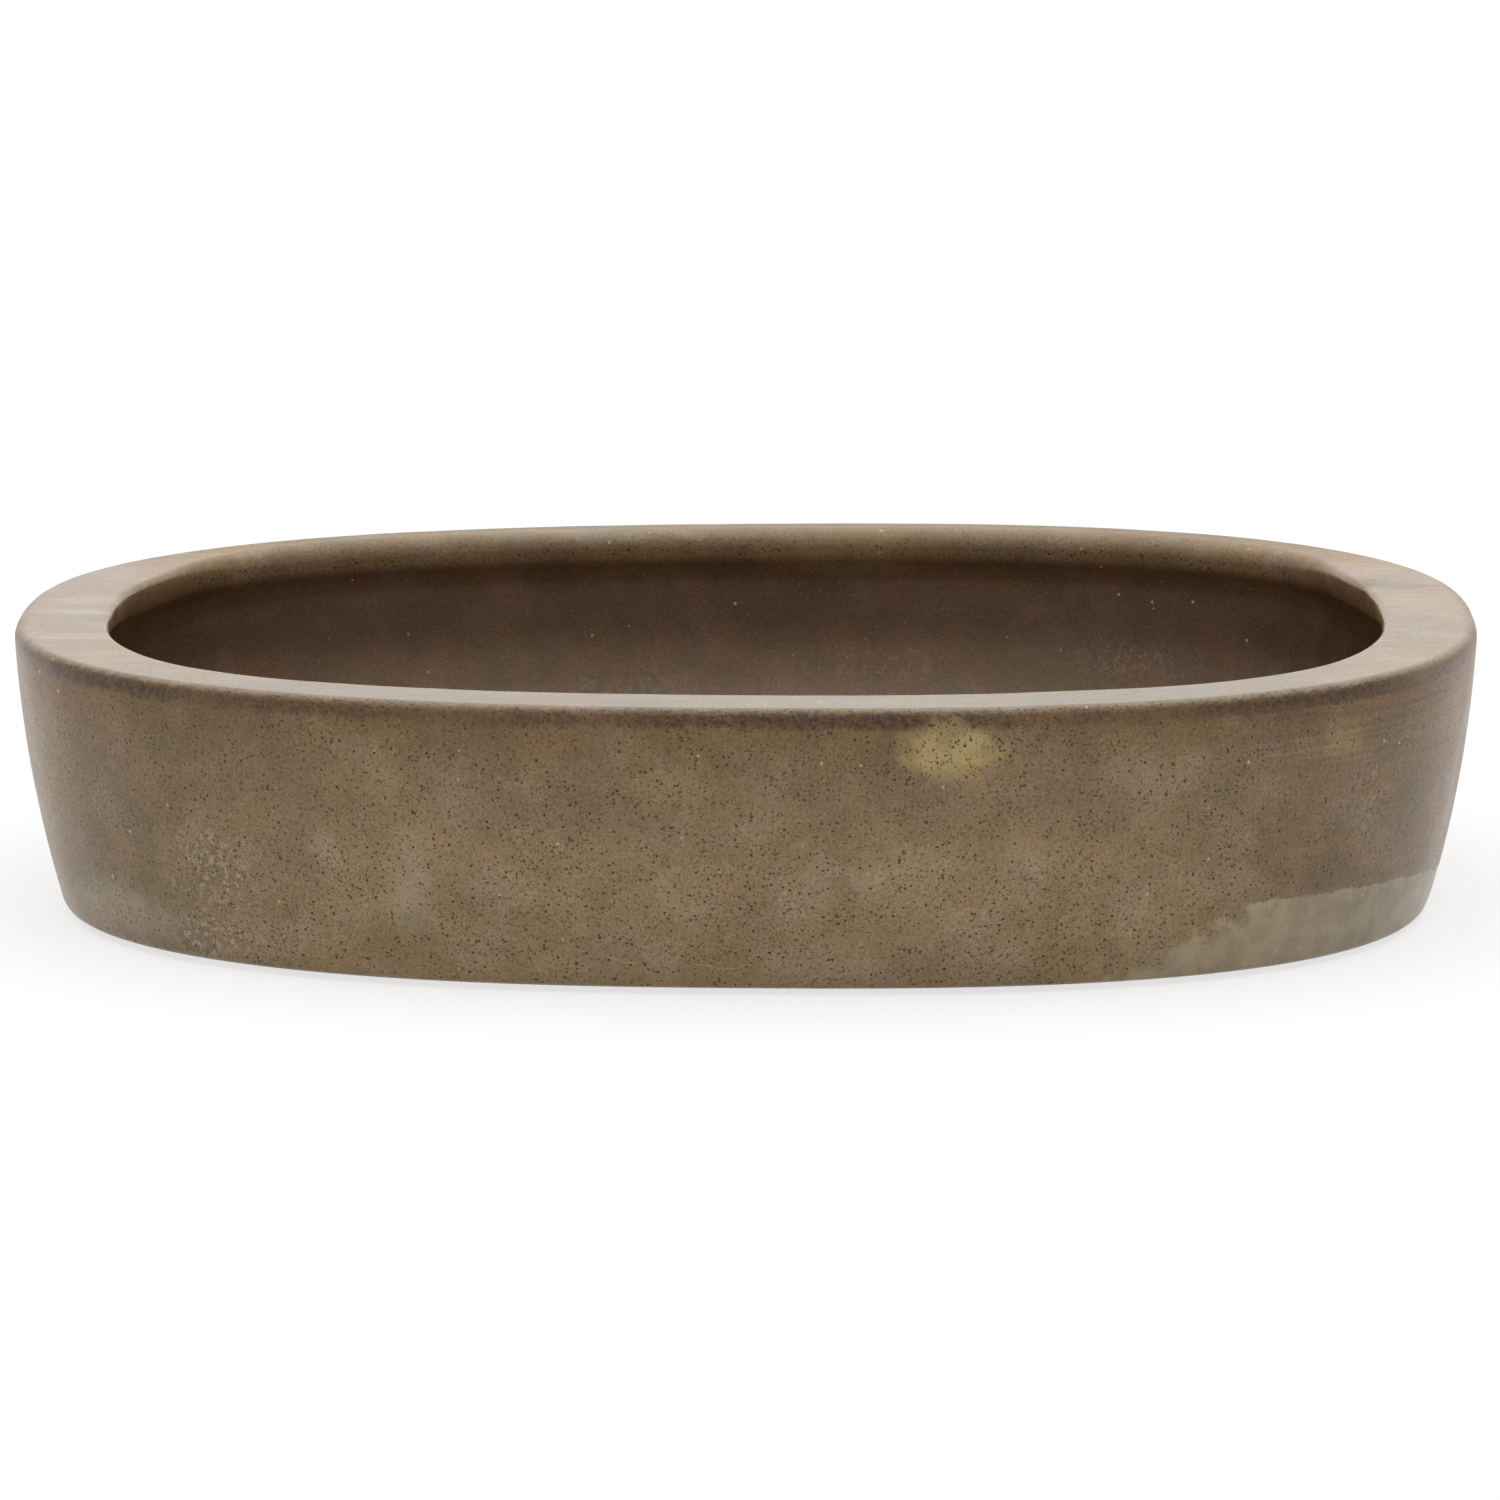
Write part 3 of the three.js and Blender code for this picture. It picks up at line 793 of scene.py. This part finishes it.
def uneven_section(bowl, off_middle, outline_y):
    """Inset and height of each row of the section at each column, the floor's edge and the rim top's
    row. The rim is a little narrower at the corners and wider at the ends, and worn at the back: its
    section is blended between those of its least and greatest width and of the worn stretch."""
    narrowest, widest = bowl.rim_width - bowl.corner_loss, bowl.rim_width + bowl.end_gain
    corner = smooth_step(0.16, 0.27, off_middle) - smooth_step(0.30, 0.36, off_middle)
    width = bowl.rim_width - bowl.corner_loss * corner + bowl.end_gain * smooth_step(0.33, 0.38, off_middle)
    share = ((width - narrowest) / (widest - narrowest))[:, None]
    narrow, floor_edge, rim_row = bowl_section(bowl, narrowest, bowl.lip_edge)
    wide = bowl_section(bowl, widest, bowl.lip_edge)[0]
    worn = bowl_section(bowl, bowl.back_width, bowl.back_edge)[0]
    at_back = smooth_step(0.12, 0.25, outline_y)[:, None]
    section = narrow[:, None] * (1 - share) + wide[:, None] * share
    section = section * (1 - at_back) + worn[:, None] * at_back
    return section[..., 0], section[..., 1], floor_edge, rim_row


def bowl_grid(bowl):
    """Grid of the casting's skin, closed both ways, and its flow: the outline's x and y and the length
    along the section from the rim's outer edge, negative down the outer wall."""
    angle = even_angles(bowl)
    outline_x, outline_y = plan_points(angle, 0.0, bowl)
    inset, height, floor_edge, rim_row = uneven_section(bowl, np.abs(outline_x), outline_y)
    x, y = plan_points(angle, inset, bowl)
    shell = np.stack([x, y, height], -1)

    edge_x, edge_y = plan_points(angle, floor_edge[0], bowl)
    edge_reach = np.hypot(edge_x, edge_y)
    direction = np.stack([edge_x, edge_y], -1) / edge_reach[:, None]
    drain_z = floor_edge[1] - bowl.floor_fall
    seat_z = drain_z - bowl.sump_depth
    sump_wall = 0.00075
    core = rounded_path(
        [
            (bowl.sump_radius + 0.006, drain_z), (bowl.sump_radius + sump_wall, drain_z),
            (bowl.sump_radius, seat_z), (bowl.drain_top, seat_z),
            (bowl.drain_bottom, bowl.base_z + bowl.drain_chamfer),
            (bowl.drain_bottom + bowl.drain_chamfer, bowl.base_z),
            (bowl.drain_bottom + 0.006, bowl.base_z),
        ],
        [0, 0.0008, 0.0012, 0.0008, 0.0006, 0.0004, 0],
    )
    fall = floor_edge[1] - drain_z
    share = np.arange(16)[:, None] / 16
    reach = edge_reach * (1 - share) + core[0, 0] * share
    floor = np.stack(
        [reach * direction[:, 0], reach * direction[:, 1], drain_z + fall * reach / edge_reach], -1
    )
    radius = core[:, :1]
    rise = fall * np.clip((radius - bowl.sump_radius) / 0.006, 0, 1) * core[0, 0] / edge_reach
    above = core[:, 1:] > seat_z + bowl.sump_depth / 2
    drain = np.stack(
        [radius * direction[:, 0], radius * direction[:, 1], core[:, 1:] + np.where(above, rise, 0)], -1
    )
    base = shell[0]
    share = np.arange(1, 8)[:, None] / 8
    from_drain = drain[-1]
    underside = from_drain[None] * (1 - share[..., None]) + base[None] * share[..., None]
    points = np.concatenate([shell, floor, drain, underside])

    step = np.linalg.norm(np.diff(points[:, 0], axis=0), axis=-1)
    run = np.concatenate([[0], np.cumsum(step)])
    run -= run[rim_row]
    flow = np.stack(
        [outline_x + 0 * run[:, None], outline_y + 0 * run[:, None], run[:, None] + 0 * outline_x], -1
    )
    return relieved(points, run, bowl), flow


def relieved(points, run, bowl):
    """The grid with its faces made uneven: each point goes inwards along the normal by smooth noise of
    80, 25 and 8 mm cells, and further in the smooth patch and in a round dent exp(-(d/r)^2). The drain
    and the underside stay true."""
    depth = (
        0.5 * (1 + noise_field(points, 0.080, 11))
        + 0.3 * (1 + noise_field(points, 0.025, 12))
        + 0.1 * (1 + noise_field(points, 0.008, 13))
    )
    x, y, z = np.moveaxis(points, -1, 0)
    above = smooth_step(bowl.base_z + 0.0002, bowl.base_z + 0.004, z)
    keep = smooth_step(0.050, 0.070, np.hypot(x, y)) * above
    edge = PATCH_EDGE[0] + PATCH_EDGE[1] * y + PATCH_EDGE[2] * y**2
    patch = (
        smooth_step(0.0015, -0.0015, z - edge) * smooth_step(*PATCH_LEFT, x - PATCH_SLANT * z)
        * smooth_step(*PATCH_BACK, y) * (run < 0)[:, None]
    )
    dent = np.exp(-np.sum((points - np.array(DENT)) ** 2, -1) / DENT_RADIUS**2)
    inwards = (bowl.relief * depth + bowl.patch_depth * patch) * keep + bowl.dent_depth * dent
    return points - grid_normals(points) * inwards[..., None]


class PLANTER_OT_plug(bpy.types.Operator):
    """Turns the rubber plug that closes the drain"""

    bl_idname = "planter.plug"
    bl_label = "Drain plug"

    def execute(self, context):
        rubber = context.scene.planter_rubber
        low, high = PLUG_LOW.z, PLUG_HIGH.z
        flange = (PLUG_HIGH.x - PLUG_LOW.x) / 2
        seat = low + 0.0183
        top = seat + 0.0035
        knob = high - 0.009
        profile = rounded_path(
            [
                (0, low + 0.012), (0.009, low + 0.012), (0.009, low), (0.0178, low),
                (0.0197, seat), (flange, seat), (flange, top - 0.0012), (flange - 0.004, top),
                (0.012, top), (0.0105, top + 0.0008), (0.005, top + 0.0012), (0.005, knob),
                (0.0094, knob), (0.010, knob + 0.0045), (0.0082, high), (0.0035, high),
                (0.0028, high - 0.0006), (0, high - 0.0006),
            ],
            [0, 0.002, 0.0006, 0.0012, 0.0006, 0.0004, 0.0007, 0.0014, 0.0006, 0.0003, 0.0016, 0.002,
             0.001, 0.002, 0.0014, 0.0004, 0.0004, 0],
        )
        piece = put_in_scene(turned_mesh("plug_body", profile, rubber.columns), "plug_body")
        piece.data.materials.append(rubber_material("plug_rubber", list(rubber.plug), rubber.dust))
        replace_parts(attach(piece, "drain_plug"), "drain_plug")
        return {"FINISHED"}


class PLANTER_OT_pads(bpy.types.Operator):
    """Turns the four rubber pads, with ring grooves in their undersides"""

    bl_idname = "planter.pads"
    bl_label = "Rubber pads"

    def execute(self, context):
        rubber = context.scene.planter_rubber
        material = rubber_material("pad_rubber", list(rubber.pads), rubber.dust)
        for node in PAD_NODES:
            low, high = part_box(node)
            centre = (low + high) / 2
            radius = (high.x - low.x) / 2
            corners, radii = [(0, low.z + 0.0006)], [0]
            for groove in (0.004, 0.010, 0.016):
                corners += [(groove, low.z + 0.0006), (groove + 0.0006, low.z),
                            (groove + 0.0046, low.z), (groove + 0.0052, low.z + 0.0006)]
                radii += [0.0003] * 4
            corners += [(radius - 0.003, low.z + 0.0006), (radius - 0.0026, low.z), (radius, low.z),
                        (radius - 0.0004, high.z), (0, high.z)]
            radii += [0.0001, 0.0001, 0.0008, 0.0006, 0]
            profile = rounded_path(corners, radii, 3)
            mesh = turned_mesh(node + "_disc", profile, rubber.columns, (centre.x, centre.y))
            piece = put_in_scene(mesh, node + "_disc")
            piece.data.materials.append(material)
            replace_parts(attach(piece, "planter"), node)
        return {"FINISHED"}


class PLANTER_OT_studio(bpy.types.Operator):
    """Sets up the floor, the surroundings, the overhead lamp and the camera"""

    bl_idname = "planter.studio"
    bl_label = "Studio"

    def execute(self, context):
        studio = context.scene.planter_studio
        add_floor(studio)
        add_surroundings(context.scene, studio)
        add_lamp(context.scene, studio)
        add_camera(context.scene, studio)
        context.scene.view_settings.view_transform = "Standard"
        return {"FINISHED"}


def seen_directly(s):
    """1 for rays that show the surroundings to the camera or in a reflection, and 0 for those that
    only carry light."""
    path = s.node("LightPath").outputs
    seen = s.math("MAXIMUM", path["Is Camera Ray"], path["Is Glossy Ray"])
    return s.math("MAXIMUM", seen, path["Is Transmission Ray"])


def add_floor(studio):
    """A level square floor that shows white in the open and keeps a light shadow."""
    half = studio.floor_size / 2
    mesh = bpy.data.meshes.new("studio_floor")
    corners = [(-half, -half, 0), (half, -half, 0), (half, half, 0), (-half, half, 0)]
    mesh.from_pydata(corners, [], [(0, 1, 2, 3)])
    floor = bpy.data.objects.new("studio_floor", mesh)
    bpy.context.scene.collection.objects.link(floor)
    material, s = new_material("studio_floor")
    shown = s.node("AddShader", {
        0: s.node("Emission", {"Color": (0.72, 0.72, 0.72, 1)}).outputs[0],
        1: s.node("BsdfDiffuse", {"Color": (0.3, 0.3, 0.3, 1)}).outputs[0],
    })
    lit = s.node("BsdfDiffuse", {"Color": (0.9, 0.9, 0.9, 1)})
    both = s.node("MixShader", {0: seen_directly(s), 1: lit.outputs[0], 2: shown.outputs[0]})
    s.node("OutputMaterial", {0: both.outputs[0]})
    mesh.materials.append(material)


def add_surroundings(scene, studio):
    """White all round to the eye and in reflections, and a dimmer dome as a source of light."""
    world = bpy.data.worlds.new("studio_surroundings")
    s = Shader(world)
    strength = s.ramp(seen_directly(s), 0.0, 1.0, studio.dome, 1.0)
    background = s.node("Background", {"Color": (1, 1, 1, 1), "Strength": strength})
    s.node("OutputWorld", {0: background.outputs[0]})
    scene.world = world


def add_lamp(scene, studio):
    """One broad soft lamp from overhead."""
    lamp = bpy.data.lights.new("overhead_lamp", "SUN")
    lamp.energy = studio.lamp_energy
    lamp.angle = studio.lamp_angle
    holder = bpy.data.objects.new("overhead_lamp", lamp)
    holder.rotation_euler = (-studio.lamp_tilt, 0, 0)
    holder.location = (0, 0, 3)
    scene.collection.objects.link(holder)


def add_camera(scene, studio):
    """The camera looks at the middle of the casting from its azimuth and elevation, then rolls."""
    target = Vector((0, 0, (BOWL_LOW.z + BOWL_HIGH.z) / 2))
    flat = math.cos(studio.elevation)
    back = Vector((
        flat * math.sin(studio.azimuth), -flat * math.cos(studio.azimuth), math.sin(studio.elevation),
    ))
    right = Vector((math.cos(studio.azimuth), math.sin(studio.azimuth), 0))
    up = back.cross(right)
    cos, sin = math.cos(studio.roll), math.sin(studio.roll)
    turned = Matrix((right * cos - up * sin, right * sin + up * cos, back)).transposed()
    camera = bpy.data.cameras.new("studio_camera")
    camera.sensor_width = 36
    camera.lens = studio.lens
    camera.shift_x = studio.shift_x
    camera.shift_y = studio.shift_y
    camera.clip_start, camera.clip_end = 0.1, 100
    holder = bpy.data.objects.new("studio_camera", camera)
    holder.matrix_world = Matrix.Translation(target + back * studio.distance) @ turned.to_4x4()
    scene.collection.objects.link(holder)
    scene.camera = holder


class PLANTER_PT_panel(bpy.types.Panel):
    """Lists the planter's operators and sizes"""

    bl_idname = "PLANTER_PT_panel"
    bl_label = "Planter"
    bl_space_type = "VIEW_3D"
    bl_region_type = "UI"
    bl_category = "Planter"

    def draw(self, context):
        for operator in OPERATORS:
            self.layout.operator(operator.bl_idname)
        self.layout.prop(context.scene.planter_bowl, "length")
        self.layout.prop(context.scene.planter_bowl, "width")


SETTINGS = {
    "planter_bowl": BowlSettings,
    "planter_concrete": ConcreteSettings,
    "planter_rubber": RubberSettings,
    "planter_studio": StudioSettings,
}
OPERATORS = (PLANTER_OT_bowl, PLANTER_OT_plug, PLANTER_OT_pads, PLANTER_OT_studio)


def register():
    for kind in (*SETTINGS.values(), *OPERATORS, PLANTER_PT_panel):
        bpy.utils.register_class(kind)
    for name, kind in SETTINGS.items():
        setattr(bpy.types.Scene, name, bpy.props.PointerProperty(type=kind))


def unregister():
    for name in SETTINGS:
        delattr(bpy.types.Scene, name)
    for kind in reversed((*SETTINGS.values(), *OPERATORS, PLANTER_PT_panel)):
        bpy.utils.unregister_class(kind)


def main():
    register()
    bpy.ops.planter.bowl()
    bpy.ops.planter.plug()
    bpy.ops.planter.pads()
    bpy.ops.planter.studio()


if __name__ == "__main__":
    main()
